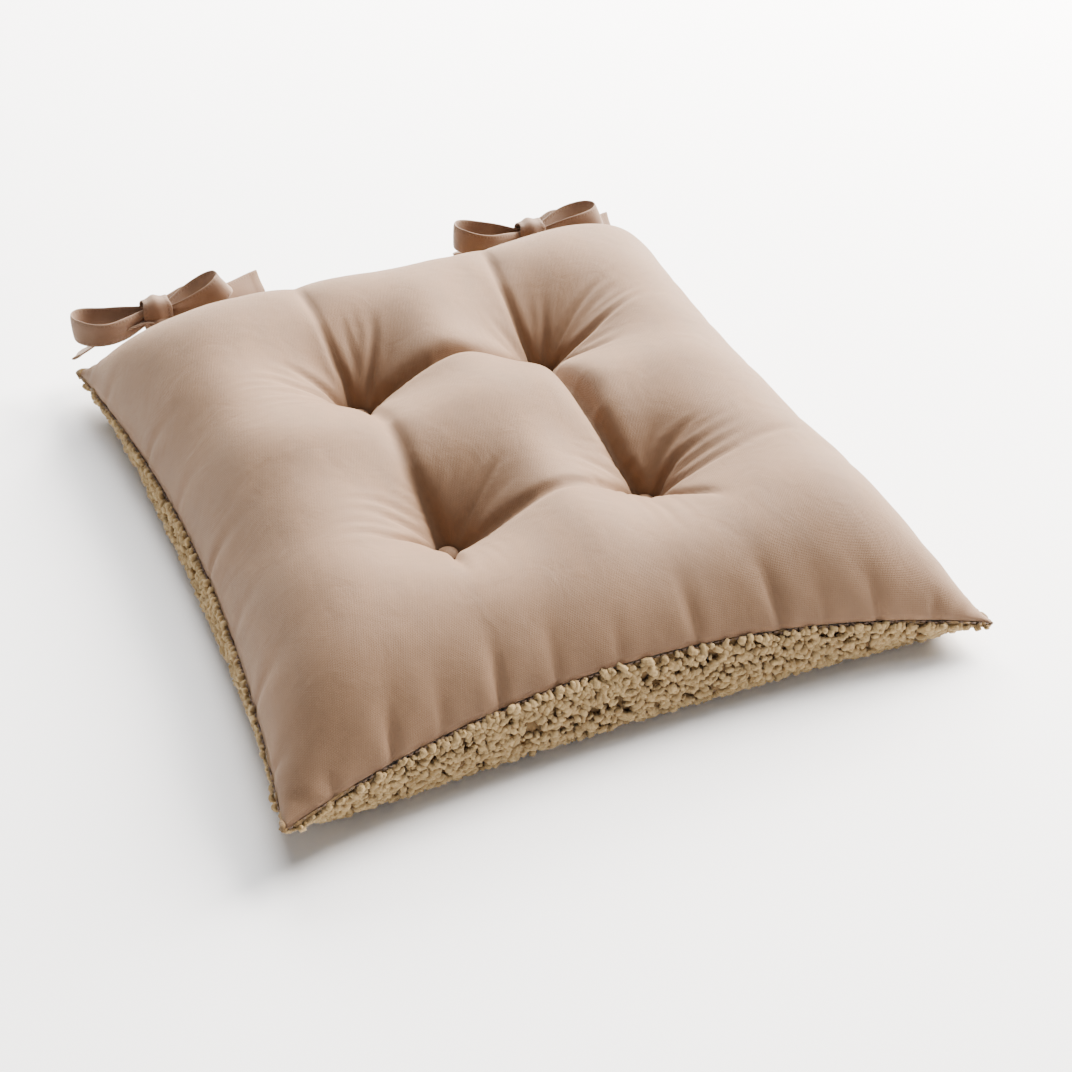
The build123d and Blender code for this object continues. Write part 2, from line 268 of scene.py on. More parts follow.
# Each fold between tufts or from a tuft to the edge: places in x, y and its floor's height, in mm,
# how wide its flanks are, and how much of it is a sharp crease.
folds = [
    ([(-60, 72, 40), (-38, 67, 54), (-14, 65, 65), (12, 65, 65), (36, 66, 58), (60, 72, 40)], 19, 0.58),
    ([(60, 72, 40), (54, 44, 52), (51, 12, 60), (50, -20, 61), (53, -50, 54), (60, -72, 40)], 19, 0.58),
    ([(-60, 72, 40), (-62, 46, 67), (-64, 8, 80), (-66, -30, 74), (-60, -72, 40)], 22, 0.25),
    ([(-60, -72, 40), (-42, -79, 60), (-12, -82, 76), (20, -81, 77), (60, -72, 40)], 20, 0.42),
    ([(-60, 72, 40), (-63, 92, 64), (-65, 120, 77), (-66, 170, 74), (-66, 194, 48)], 22, 0.30),
    ([(60, 72, 40), (55, 92, 60), (54, 125, 75), (62, 170, 75), (66, 194, 48)], 22, 0.35),
    ([(-60, 72, 40), (-92, 55, 74), (-125, 36, 83), (-160, 20, 86)], 24, 0.20),
    ([(-60, -72, 40), (-95, -80, 73), (-125, -78, 80), (-160, -70, 84)], 20, 0.35),
    ([(-60, -72, 40), (-66, -100, 60), (-73, -132, 77), (-80, -165, 85)], 22, 0.25),
    ([(60, -72, 40), (68, -100, 60), (84, -124, 77), (112, -140, 86)], 20, 0.30),
    ([(60, -72, 40), (78, -84, 66), (108, -88, 78), (150, -84, 77), (178, -84, 56)], 16, 0.45),
    ([(60, 72, 40), (84, 66, 66), (112, 70, 80), (150, 76, 84)], 22, 0.25),
    ([(60, 72, 40), (78, 48, 68), (100, 33, 81), (134, 28, 88)], 14, 0.40),
]


def seamHeight(u, v):
    corner = pad["cornerHeight"]
    level = sum(corner[(a, b)] * (1 + a * u) * (1 + b * v) / 4 for a in (-1, 1) for b in (-1, 1))
    rise = pad["rise"]
    ends = np.where(v < 0, rise["front"], rise["rear"]) * (1 - u * u) * v * v
    flanks = np.where(u < 0, rise["left"], rise["right"]) * (1 - v * v) * u * u
    return level + ends + flanks


# How far the seam draws in beside each place, sideways and endways
def pulls(u, v):
    pull = pad["pull"]
    side = np.where(u < 0, pull["left"], pull["right"]) * (1 - v * v)
    end = np.where(v < 0, pull["front"], pull["rear"]) * (1 - u * u)
    return side, end


# How far the folds and tufts draw the free surface down
def foldDepth(x, y, free):
    depth = np.zeros_like(x)
    edge = pad["creaseEdge"]
    for run, wide, sharp in folds:
        run = np.array(run) * mm
        nearest = np.full(x.shape, 1e9)
        floor = np.zeros_like(x)
        for a, b in zip(run[:-1], run[1:]):
            d = (b - a)[:2]
            t = np.clip(((x - a[0]) * d[0] + (y - a[1]) * d[1]) / (d @ d), 0, 1)
            away = np.hypot(x - a[0] - t * d[0], y - a[1] - t * d[1])
            closer = away < nearest
            nearest = np.where(closer, away, nearest)
            floor = np.where(closer, a[2] + (b[2] - a[2]) * t, floor)
        fall = (1 - sharp) * np.exp(-(nearest / (wide * mm)) ** 1.6)
        fall += sharp * np.exp(-(np.hypot(nearest, edge) - edge) / pad["creaseWide"])
        depth += (np.maximum(free - floor, 0) * fall) ** 5
    for tx, ty in tuftPlaces:
        away = np.hypot(x - tx, y - ty)
        past = np.maximum(away - pad["tuftDisc"], 0)
        fall = 0.85 * np.exp(-(past / pad["tuftReach"]) ** 1.45) + 0.15 * np.exp(-past / pad["tuftThroat"])
        depth += (np.maximum(free - tuftSeat, 0) * fall) ** 5
    return depth ** 0.2


# Gathers along the seam: where they sit along each side as a share, and how strong they are.
gathers = {
    "front": [(-0.86, 1.0), (-0.70, 1.5), (-0.56, 0.8), (-0.40, 1.4), (-0.24, 0.9), (-0.06, 0.6),
              (0.16, 1.1), (0.40, 1.5), (0.53, 0.7), (0.68, 1.3), (0.84, 0.8)],
    "rear": [(-0.82, 0.8), (-0.55, 1.2), (-0.34, 0.9), (-0.08, 0.7), (0.20, 1.1), (0.46, 0.8), (0.76, 1.0)],
    "left": [(-0.84, 0.6), (-0.62, 0.7), (-0.37, 0.4), (-0.12, 0.6), (0.18, 0.4), (0.44, 0.6), (0.78, 0.6)],
    "right": [(-0.80, 0.9), (-0.55, 1.2), (-0.30, 0.8), (-0.02, 0.9), (0.25, 1.1), (0.52, 0.8),
              (0.80, 0.9)],
}
gather = {"deep": 0.0021, "wide": 0.0032, "long": 0.015, "puff": 0.0009}


def gatherDepth(u, v):
    depth = np.zeros_like(u)
    for side, rows in gathers.items():
        along, off = (u, v) if side in ("front", "rear") else (v, u)
        sign = -1 if side in ("front", "left") else 1
        span = halfWidth if side in ("front", "rear") else halfDepth
        gap = (1 - sign * off) * (halfDepth if side in ("front", "rear") else halfWidth)
        for spot, strength in rows:
            lean = along * span - spot * span * (1 - 0.25 * gap / span)
            reach = gather["long"] * (0.6 + 0.6 * strength)
            fade = np.exp(-(gap / reach) ** 1.5)
            wide = gather["wide"] * (0.8 + gap / 0.02)
            depth += strength * gather["deep"] * fade * np.exp(-(lean / wide) ** 2)
            depth -= strength * gather["puff"] * fade * np.exp(-((abs(lean) - 2.6 * wide)
                                                                 / (1.6 * wide)) ** 2)
    return depth


# Slow waves in how the filling lies: how fast they run in x and y, where they start, and how deep in mm.
unevenness = [(41, 23, 0.4, 0.9), (-35, 62, 2.1, 0.8), (88, -31, 4.0, 0.45), (57, 101, 1.2, 0.4),
              (-130, 74, 5.2, 0.25)]


def topTarget(u, v):
    side, end = pulls(u, v)
    x, y = u * (halfWidth - side), v * (halfDepth - end)
    full = (1 - abs(u) ** np.where(u < 0, pad["fullness"]["left"], pad["fullness"]["right"])) * (
        1 - abs(v) ** np.where(v < 0, pad["fullness"]["front"], pad["fullness"]["rear"]))
    free = seamHeight(u, v) * (1 - full) + pad["crown"] * full
    roll = np.zeros_like(x)
    for wx, wy, lag, deep in unevenness:
        roll += deep * np.sin(wx * x + wy * y + lag)
    points = np.stack([x, y, free - foldDepth(x, y, free) + roll * mm * full], axis=-1)
    inside = 1 - np.maximum(abs(u), abs(v)) ** 60
    return points - gridNormals(points) * (gatherDepth(u, v) * (0.35 + 0.65 * inside))[..., None]


def evenGrid(cells):
    u = np.linspace(-1, 1, cells[0] + 1)
    v = np.linspace(-1, 1, cells[1] + 1)
    return np.meshgrid(u, v, indexing="ij")


settling = {
    "levels": (4, 2, 1),
    "rounds": (70, 60, 50),
    "sweeps": 5,
    "spare": 0.008,
    "tuftSpare": 0.05,
    "tuftRange": 0.034,
    "push": 0.00006,
    "keep": 0.86,
    "hold": 0.014,
    "bend": 0.05,
    "squeeze": 0.7,
}


# Neighbouring points in batches that share no point, so that each batch can move at once
def linkBatches(shape):
    rows, columns = shape
    batches = []
    for di, dj, stiff in ((1, 0, 1.0), (0, 1, 1.0), (1, 1, 0.35), (1, -1, 0.35)):
        for c in range(2):
            if di:
                a0 = slice(c, rows - 1, 2)
                b0 = slice(c + 1, rows, 2)
                a1 = slice(0, columns - dj) if dj >= 0 else slice(1, columns)
                b1 = slice(dj, columns) if dj >= 0 else slice(0, columns - 1)
            else:
                a0 = b0 = slice(0, rows)
                a1, b1 = slice(c, columns - 1, 2), slice(c + 1, columns, 2)
            batches.append(((a0, a1), (b0, b1), stiff, False))
    for c in range(4):
        batches.append(((slice(c, rows - 2, 4), slice(0, columns)),
                        (slice(c + 2, rows, 4), slice(0, columns)), settling["bend"], True))
        batches.append(((slice(0, rows), slice(c, columns - 2, 4)),
                        (slice(0, rows), slice(c + 2, columns, 4)), settling["bend"], True))
    return batches


# The cloth has spare length, is blown up from below and stays held at the seam, tufts and folds
def settleCloth(target, start, held, creased, rounds):
    free = np.where(held, 0.0, 1.0)[..., None]
    x, y = target[..., 0], target[..., 1]
    nearest = np.min([np.hypot(x - t[0], y - t[1]) for t in tuftPlaces], axis=0)
    spare = settling["spare"] + settling["tuftSpare"] * np.exp(-((nearest / settling["tuftRange"]) ** 2))
    spare = spare * (1 + 0.7 * np.sin(61 * x + 1.0) * np.sin(53 * y + 17 * x + 0.6))
    links = []
    for a, b, stiff, bending in linkBatches(held.shape):
        length = np.linalg.norm(target[a] - target[b], axis=-1, keepdims=True)
        length *= 1 + (spare[a] + spare[b])[..., None] / 2
        share = free[a] + free[b]
        share[share == 0] = 1
        links.append((a, b, stiff, bending, length, free[a] / share, free[b] / share))
    now, before = start.copy(), start.copy()
    for _ in range(rounds):
        normal = gridNormals(now)
        move = (now - before) * settling["keep"] + normal * settling["push"]
        before = now.copy()
        now = now + move * free
        now += (target - now) * free * (settling["hold"] + 0.5 * creased[..., None])
        for _ in range(settling["sweeps"]):
            for a, b, stiff, bending, length, wa, wb in links:
                gap = now[b] - now[a]
                size = np.linalg.norm(gap, axis=-1, keepdims=True)
                pull = (size - length) / np.maximum(size, 1e-9)
                if bending:
                    pull = np.minimum(pull, 0)
                else:
                    pull = np.where(pull < 0, pull * settling["squeeze"], pull)
                step = gap * pull * stiff
                now[a] += step * wa
                now[b] -= step * wb
    return now


def foldNearness(x, y):
    near = np.zeros_like(x)
    for run, _, _ in folds[:4]:
        run = np.array(run) * mm
        for a, b in zip(run[:-1], run[1:]):
            d = (b - a)[:2]
            t = np.clip(((x - a[0]) * d[0] + (y - a[1]) * d[1]) / (d @ d), 0, 1)
            away = np.hypot(x - a[0] - t * d[0], y - a[1] - t * d[1])
            near = np.maximum(near, np.exp(-((away / 0.003) ** 2)))
    return near


# A grid of points, stretched to a finer one
def finer(grid, shape):
    for axis in (0, 1):
        count = grid.shape[axis]
        spot = np.linspace(0, count - 1, shape[axis])
        low = np.clip(spot.astype(int), 0, count - 2)
        part = (spot - low).reshape((-1, 1, 1) if axis == 0 else (1, -1, 1))
        grid = np.take(grid, low, axis) * (1 - part) + np.take(grid, low + 1, axis) * part
    return grid


def makeTopForm():
    drift = None
    levels = settling["levels"]
    for level, rounds in zip(levels, settling["rounds"]):
        u, v = evenGrid([c // level for c in pad["cells"]])
        target = topTarget(u, v)
        edge = (abs(u) == 1) | (abs(v) == 1)
        nearest = np.min([np.hypot(target[..., 0] - tx, target[..., 1] - ty)
                          for tx, ty in tuftPlaces], axis=0)
        if drift is None:
            random = np.random.default_rng(7)
            drift = random.normal(0, 0.0004, target.shape)
        else:
            drift = finer(drift, u.shape)
        drift[edge] = 0
        creased = foldNearness(target[..., 0], target[..., 1])
        made = settleCloth(target, target + drift, edge | (nearest < pad["tuftDisc"]), creased, rounds)
        drift = made - target
    u, v = evenGrid(pad["cells"])
    if drift is None:
        return u, v, topTarget(u, v)
    print("the cloth moved up to", round(float(np.linalg.norm(drift, axis=-1).max()) / mm, 1), "mm")
    return u, v, topTarget(u, v) + drift


# A node tree being wired up
class Patch:

    def __init__(self, tree):
        self.tree = tree

    def add(self, kind, settings=None, **inputs):
        node = self.tree.nodes.new("ShaderNode" + kind)
        for key, value in (settings or {}).items():
            setattr(node, key, value)
        for key, value in inputs.items():
            self.set(node, key.replace("_", " "), value)
        return node

    def set(self, node, name, value):
        spot = node.inputs[int(name[1:])] if name[1:].isdigit() else node.inputs[name]
        if isinstance(value, bpy.types.NodeSocket):
            self.tree.links.new(value, spot)
        else:
            spot.default_value = value

    def maths(self, operation, a, b=0.0, c=0.0):
        return self.add("Math", {"operation": operation}, i0=a, i1=b, i2=c).outputs[0]

    def ramp(self, value, stops):
        node = self.add("ValToRGB", i0=value)
        ramp = node.color_ramp
        while len(ramp.elements) < len(stops):
            ramp.elements.new(0.5)
        for element, (at, colour) in zip(ramp.elements, stops):
            element.position = at
            element.color = (*colour, 1) if len(colour) == 3 else colour
        return node.outputs["Color"]

    def mix(self, share, a, b, blend="MIX"):
        node = self.add("Mix", {"data_type": "RGBA", "blend_type": blend})
        self.set(node, "i0", share)
        for spot, value in ((6, a), (7, b)):
            if not isinstance(value, bpy.types.NodeSocket):
                value = (*value, 1)
            self.set(node, f"i{spot}", value)
        return node.outputs[2]


# A node group with named sockets, and the patch to wire it with
def effect(name, inputs, outputs):
    group = bpy.data.node_groups.new(name, "ShaderNodeTree")
    for key, kind, start in inputs:
        socket = group.interface.new_socket(key, in_out="INPUT", socket_type="NodeSocket" + kind)
        if start is not None:
            socket.default_value = start
    for key, kind in outputs:
        group.interface.new_socket(key, in_out="OUTPUT", socket_type="NodeSocket" + kind)
    source = group.nodes.new("NodeGroupInput")
    sink = group.nodes.new("NodeGroupOutput")
    return group, Patch(group), source.outputs, sink


# Fine threads crossing in a twill: which thread is on top, and the height of the yarn
def makeWeave():
    group, patch, given, sink = effect(
        "clothWeave",
        [("Place", "Vector", None), ("Threads", "Float", 1400.0), ("Unevenness", "Float", 0.25)],
        [("Tone", "Float"), ("Height", "Float")])
    spread = patch.add("VectorMath", {"operation": "SCALE"}, Vector=given["Place"], Scale=given["Threads"])
    split = patch.add("SeparateXYZ", i0=spread.outputs[0])
    warp = patch.maths("SINE", patch.maths("MULTIPLY", split.outputs[0], 2 * math.pi))
    weft = patch.maths("SINE", patch.maths("MULTIPLY", split.outputs[1], 2 * math.pi))
    diagonal = patch.maths("SINE", patch.maths("MULTIPLY",
                                               patch.maths("ADD", split.outputs[0],
                                                           split.outputs[1]), math.pi / 2))
    top = patch.maths("MAXIMUM", patch.maths("MULTIPLY", warp, diagonal),
                      patch.maths("MULTIPLY", weft, -0.7))
    slub = patch.add("TexNoise", {"noise_dimensions": "3D"}, Vector=given["Place"], Scale=420.0, Detail=3.0)
    height = patch.maths("MULTIPLY_ADD", patch.maths("SUBTRACT", slub.outputs[0], 0.5),
                         given["Unevenness"], top)
    patch.set(sink, "Height", height)
    patch.set(sink, "Tone", patch.maths("MULTIPLY_ADD", height, 0.25, 0.5))
    return group


# Slow and quick changes of tone over a surface, from 0 to 1
def makeDrift():
    group, patch, given, sink = effect(
        "toneDrift",
        [("Place", "Vector", None), ("Broad", "Float", 9.0), ("Fine", "Float", 140.0),
         ("Fine Share", "Float", 0.35)],
        [("Tone", "Float")])
    broad = patch.add("TexNoise", Vector=given["Place"], Scale=given["Broad"], Detail=3.0, Roughness=0.55)
    fine = patch.add("TexNoise", Vector=given["Place"], Scale=given["Fine"], Detail=4.0, Roughness=0.6)
    mixed = patch.add("Mix", {"data_type": "FLOAT"}, i0=given["Fine Share"], i2=broad.outputs[0],
                      i3=fine.outputs[0])
    patch.set(sink, "Tone", mixed.outputs[0])
    return group


# Brushed nap: soft streaks where a hand has laid the fibres one way
def makeNap():
    group, patch, given, sink = effect(
        "brushedNap",
        [("Place", "Vector", None), ("Streaks", "Float", 60.0)],
        [("Tone", "Float"), ("Height", "Float")])
    squeeze = patch.add("VectorMath", {"operation": "MULTIPLY"}, i0=given["Place"], i1=(1.0, 0.28, 1.0))
    streak = patch.add("TexNoise", Vector=squeeze.outputs[0], Scale=given["Streaks"], Detail=5.0,
                       Roughness=0.6, Distortion=0.6)
    hair = patch.add("TexNoise", Vector=given["Place"], Scale=1500.0, Detail=3.0, Roughness=0.7)
    patch.set(sink, "Tone", streak.outputs[0])
    patch.set(sink, "Height", patch.maths("MULTIPLY_ADD", hair.outputs[0], 0.5,
                                          patch.maths("MULTIPLY", streak.outputs[0], 0.5)))
    return group


# A row of stitches near both edges of a tape. Along is in metres, Over from -1 to 1 across it
def makeRowStitch():
    group, patch, given, sink = effect(
        "edgeStitch",
        [("Along", "Float", 0.0), ("Over", "Float", 0.0), ("Pitch", "Float", 0.0026),
         ("Row", "Float", 0.78)],
        [("Thread", "Float"), ("Height", "Float")])
    off = patch.maths("ABSOLUTE", patch.maths("SUBTRACT", patch.maths("ABSOLUTE", given["Over"]),
                                              given["Row"]))
    line = patch.add("MapRange", i0=off, i1=0.03, i2=0.11, i3=1.0, i4=0.0).outputs[0]
    beat = patch.maths("SINE", patch.maths("MULTIPLY",
                                           patch.maths("DIVIDE", given["Along"],
                                                       given["Pitch"]), 2 * math.pi))
    dash = patch.add("MapRange", i0=beat, i1=-0.75, i2=-0.3, i3=0.0, i4=1.0).outputs[0]
    thread = patch.maths("MULTIPLY", line, dash)
    dip = patch.add("MapRange", i0=off, i1=0.0, i2=0.28, i3=1.0, i4=0.0).outputs[0]
    patch.set(sink, "Thread", thread)
    patch.set(sink, "Height", patch.maths("SUBTRACT", patch.maths("MULTIPLY", thread, 0.7), dip))
    return group


weave, drift, nap, rowStitch = makeWeave(), makeDrift(), makeNap(), makeRowStitch()


# A material with its patch, its shader, and the fixed settings put straight on the shader
def newMaterial(name, **fixed):
    material = bpy.data.materials.new(name)
    material.use_nodes = True
    patch = Patch(material.node_tree)
    shader = material.node_tree.nodes["Principled BSDF"]
    for key, value in fixed.items():
        shader.inputs[key.replace("_", " ")].default_value = value
    return material, patch, shader


def use(patch, group, **inputs):
    node = patch.tree.nodes.new("ShaderNodeGroup")
    node.node_tree = group
    for key, value in inputs.items():
        patch.set(node, key.replace("_", " "), value)
    return node.outputs


def bumped(patch, shader, height, strength, distance):
    bump = patch.add("Bump", Strength=strength, Distance=distance, Height=height)
    patch.set(shader, "Normal", bump.outputs[0])


taupe = {"mid": (0.176, 0.100, 0.055), "light": (0.262, 0.160, 0.094)}


def makeTopCloth():
    material, patch, shader = newMaterial(
        "topCloth", Sheen_Weight=0.24, Sheen_Roughness=0.38,
        Sheen_Tint=(1.0, 0.80, 0.62, 1), Specular_IOR_Level=0.20)
    flat = patch.add("Attribute", {"attribute_name": "flatCut"}).outputs["Vector"]
    threads = use(patch, weave, Place=flat)
    tone = use(patch, drift, Place=flat)
    fibres = use(patch, nap, Place=flat)
    share = patch.maths("MULTIPLY_ADD", tone["Tone"], 0.6, patch.maths("MULTIPLY", fibres["Tone"], 0.4))
    colour = patch.ramp(share, [(0.34, [c * 0.86 for c in taupe["mid"]]), (0.50, taupe["mid"]),
                                (0.66, [c * 1.16 for c in taupe["mid"]])])
    # painted highlight: the colour is lifted towards the lighter taupe where the yarn stands higher, on the
    # thread crests
    crestHighlighted = patch.mix(patch.maths("MULTIPLY", threads["Tone"], 0.10), colour, taupe["light"])
    patch.set(shader, "Base Color", crestHighlighted)
    patch.set(shader, "Roughness", patch.maths("MULTIPLY_ADD", fibres["Tone"], 0.16, 0.60))
    crumple = patch.add("TexNoise", Vector=flat, Scale=46.0, Detail=3.0, Roughness=0.5, Distortion=0.9)
    height = patch.maths("MULTIPLY_ADD", threads["Height"], 0.35, fibres["Height"])
    height = patch.maths("MULTIPLY_ADD", crumple.outputs[0], 3.2, height)
    bumped(patch, shader, height, 0.55, 0.00034)
    return material


def makeTieCloth():
    material, patch, shader = newMaterial(
        "tieCloth", Sheen_Weight=0.25, Sheen_Roughness=0.42,
        Sheen_Tint=(1.0, 0.85, 0.72, 1), Specular_IOR_Level=0.25)
    flat = patch.add("Attribute", {"attribute_name": "flatCut"}).outputs["Vector"]
    split = patch.add("SeparateXYZ", i0=flat)
    threads = use(patch, weave, Place=flat, Threads=1500.0)
    tone = use(patch, drift, Place=patch.add("TexCoord").outputs["Object"], Broad=30.0)
    rows = use(patch, rowStitch, Along=split.outputs[1], Over=split.outputs[2])
    cloth = patch.ramp(tone["Tone"], [(0.3, (0.130, 0.076, 0.048)), (0.55, (0.165, 0.100, 0.064)),
                                      (0.75, (0.195, 0.122, 0.080))])
    # painted highlight: the colour is lifted towards the lighter taupe where the yarn stands higher, on the
    # thread crests
    crestHighlighted = patch.mix(patch.maths("MULTIPLY", threads["Tone"], 0.12), cloth, taupe["light"])
    sewn = patch.mix(patch.maths("MULTIPLY", rows["Thread"], 0.45), crestHighlighted, (0.125, 0.076, 0.050))
    patch.set(shader, "Base Color", sewn)
    patch.set(shader, "Roughness", patch.maths("MULTIPLY_ADD", tone["Tone"], 0.15, 0.66))
    bumped(patch, shader, patch.maths("MULTIPLY_ADD", threads["Height"], 0.25, rows["Height"]), 0.6, 0.0003)
    return material


# Curled pile: painted shade darkens each curl from its pale tip down to its root, deep among the curls, and
# every curl is a little different
def makePile():
    material, patch, shader = newMaterial(
        "sherpaPile", Sheen_Weight=0.25, Sheen_Roughness=0.6,
        Sheen_Tint=(1.0, 0.86, 0.62, 1), Specular_IOR_Level=0.15)
    tip = patch.add("Attribute", {"attribute_name": "tip"}).outputs["Fac"]
    own = patch.add("Attribute", {"attribute_name": "tone"}).outputs["Fac"]
    object = patch.add("TexCoord").outputs["Object"]
    tone = use(patch, drift, Place=object, Broad=22.0, Fine=700.0, Fine_Share=0.4)
    # painted shade: each curl's colour runs from dark at its root to pale at its tip, standing in for the
    # shade deep in the pile
    root = patch.ramp(tip, [(0.0, (0.085, 0.046, 0.015)), (0.45, (0.225, 0.140, 0.056)),
                            (1.0, (0.400, 0.275, 0.130))])
    share = patch.maths("MULTIPLY_ADD", own, 0.6, patch.maths("MULTIPLY", tone["Tone"], 0.4))
    shade = patch.ramp(share, [(0.2, (0.74, 0.70, 0.62)), (0.5, (0.97, 0.96, 0.94)),
                               (0.8, (1.18, 1.17, 1.14))])
    patch.set(shader, "Base Color", patch.mix(1.0, root, shade, "MULTIPLY"))
    patch.set(shader, "Roughness", patch.maths("MULTIPLY_ADD", tone["Tone"], 0.1, 0.85))
    fuzz = patch.add("TexNoise", Vector=object, Scale=1300.0, Detail=4.0, Roughness=0.65)
    bumped(patch, shader, fuzz.outputs[0], 0.9, 0.0008)
    return material


def makeBacking():
    material, patch, shader = newMaterial("pileBacking", Sheen_Weight=0.2, Specular_IOR_Level=0.15)
    object = patch.add("TexCoord").outputs["Object"]
    tone = use(patch, drift, Place=object, Broad=60.0, Fine=500.0, Fine_Share=0.6)
    patch.set(shader, "Base Color", patch.ramp(tone["Tone"], [(0.3, (0.10, 0.056, 0.020)),
                                                              (0.7, (0.20, 0.12, 0.048))]))
    patch.set(shader, "Roughness", patch.maths("MULTIPLY_ADD", tone["Tone"], 0.1, 0.86))
    bumped(patch, shader, tone["Tone"], 1.0, 0.0012)
    return material


def makeThread(name, dark, light, roughness, turns):
    material, patch, shader = newMaterial(name, Specular_IOR_Level=0.3)
    object = patch.add("TexCoord").outputs["Object"]
    ply = patch.add("TexWave", {"wave_type": "BANDS", "bands_direction": "DIAGONAL"}, Vector=object,
                    Scale=turns, Distortion=1.5)
    tone = use(patch, drift, Place=object, Broad=80.0, Fine=900.0)
    share = patch.maths("MULTIPLY_ADD", ply.outputs["Fac"], 0.6, patch.maths("MULTIPLY", tone["Tone"], 0.4))
    patch.set(shader, "Base Color", patch.ramp(share, [(0.2, dark), (0.8, light)]))
    patch.set(shader, "Roughness", patch.maths("MULTIPLY_ADD", tone["Tone"], 0.12, roughness))
    bumped(patch, shader, ply.outputs["Fac"], 0.5, 0.0002)
    return material


def makeFilling():
    material, patch, shader = newMaterial("fibreFilling", Sheen_Weight=0.3, Specular_IOR_Level=0.2)
    object = patch.add("TexCoord").outputs["Object"]
    tone = use(patch, drift, Place=object, Broad=35.0, Fine=420.0, Fine_Share=0.5)
    patch.set(shader, "Base Color", patch.ramp(tone["Tone"], [(0.3, (0.72, 0.71, 0.68)),
                                                              (0.7, (0.86, 0.855, 0.83))]))
    patch.set(shader, "Roughness", patch.maths("MULTIPLY_ADD", tone["Tone"], 0.1, 0.85))
    bumped(patch, shader, tone["Tone"], 0.9, 0.002)
    return material


def makeHard(name, dark, light, metallic, roughness):
    material, patch, shader = newMaterial(name, Metallic=metallic, Specular_IOR_Level=0.5)
    object = patch.add("TexCoord").outputs["Object"]
    tone = use(patch, drift, Place=object, Broad=120.0, Fine=1600.0, Fine_Share=0.5)
    patch.set(shader, "Base Color", patch.ramp(tone["Tone"], [(0.3, dark), (0.7, light)]))
    patch.set(shader, "Roughness", patch.maths("MULTIPLY_ADD", tone["Tone"], 0.2, roughness))
    bumped(patch, shader, tone["Tone"], 0.25, 0.0001)
    return material


finishes = {
    "top_cloth": makeTopCloth(),
    "tie_tape": makeTieCloth(),
    "sherpa": makePile(),
    "filling": makeFilling(),
    "sewing_thread": makeThread("seamThread", (0.070, 0.042, 0.026), (0.16, 0.10, 0.066), 0.6, 900.0),
    "twine": makeThread("tuftTwine", (0.32, 0.22, 0.15), (0.50, 0.37, 0.27), 0.7, 700.0),
    "button_metal": makeHard("buttonMetal", (0.46, 0.45, 0.43), (0.62, 0.61, 0.58), 1.0, 0.32),
    "anchor_plastic": makeHard("anchorPlastic", (0.60, 0.53, 0.42), (0.70, 0.63, 0.52), 0.0, 0.38),
}
backing = makeBacking()

# The button covers have no flat cut marked on them, so their weave follows their own shape.
buttonCloth = finishes["top_cloth"].copy()
buttonCloth.name = "buttonCloth"
tree = buttonCloth.node_tree
for node in list(tree.nodes):
    if node.bl_idname == "ShaderNodeAttribute":
        own = tree.nodes.new("ShaderNodeTexCoord").outputs["Object"]
        for link in list(node.outputs["Vector"].links):
            tree.links.new(own, link.to_socket)
        tree.nodes.remove(node)


def finishFor(node):
    if node.endswith("button_cover"):
        return buttonCloth
    if node.endswith(("button_shell", "button_back")):
        return finishes["button_metal"]
    if node.endswith("anchor_button"):
        return finishes["anchor_plastic"]
    if node.endswith("twine"):
        return finishes["twine"]
    if "seam_thread" in node or "stitches" in node:
        return finishes["sewing_thread"]
    return {"top_panel": finishes["top_cloth"], "sherpa_under_panel": finishes["sherpa"],
            "fibre_fill": finishes["filling"]}.get(node, finishes["tie_tape"])


for node, obj in nodes.items():
    wanted = finishFor(node)
    if not obj.data.materials:
        obj.data.materials.append(wanted)
    for k in range(len(obj.data.materials)):
        obj.data.materials[k] = wanted
print("materials ready")


u, v, top = makeTopForm()
coverPoints, coverFaces = shellOf(top, pad["cloth"])
cut = np.stack([u * halfWidth, v * halfDepth, 0 * u], axis=-1).reshape(-1, 3)
topCover = place("topCover", meshFrom("topCover", coverPoints, coverFaces,
                                      {"flatCut": np.tile(cut, (2, 1))}),
                 finishes["top_cloth"])
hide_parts("top_panel")
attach(topCover, "pad")

under = {
    "bulge": 30,
    "fullness": 15,
    "belly": 0.009,
    "standing": 0.0026,
    "inset": 0.0028,
    "seamDrop": 0.0016,
    "backing": 0.0014,
    "cells": (150, 156),
    "anchorHeight": 0.0125,
    "anchorReach": 0.017,
    "lump": 0.0011,
    "flatCut": (0.470, 0.500),
}


# Shares from -1 to 1, closer together near the seam
def edgeCrowded(cells, power):
    s, t = evenGrid(cells)
    return [np.sign(w) * (1 - (1 - abs(w)) ** power) for w in (s, t)]


def underShape(u, v, inset, drop):
    near = [abs(w) ** under["bulge"] for w in (u, v)]
    side, end = pulls(u, v)
    x = u * (halfWidth - side * near[0] - inset * (1 - near[0] ** 4))
    y = v * (halfDepth - end * near[1] - inset * (1 - near[1] ** 4))
    full = (1 - abs(u) ** under["fullness"]) * (1 - abs(v) ** under["fullness"])
    z = (seamHeight(u, v) - drop) * (1 - full) - under["belly"] * full
    for tx, ty in tuftPlaces:
        away2 = (x - tx) ** 2 + (y - ty) ** 2
        z += (under["anchorHeight"] + under["belly"]) * np.exp(-away2 / (2 * under["anchorReach"] ** 2))
    soft = 0.004  # the turn from the flank to the floor is rounded over about this height
    floor = under["standing"]
    z = floor + soft * np.log1p(np.exp((z - floor) / soft))
    return np.stack([x, y, z], axis=-1)


filling = {
    "cells": (116, 124),
    "crowding": 1.5,
    "share": 0.985,  # how much of the way to the seam it reaches
    "inset": 0.006,
    "seamDrop": 0.0016,
    "reach": 2,  # it takes the lowest place within this many cells, to stay below the cloth in every fold
    "belowCloth": 0.006,
    "aboveBacking": 0.003,
    "thinnest": 0.0008,
    "fill": 0.7,
}


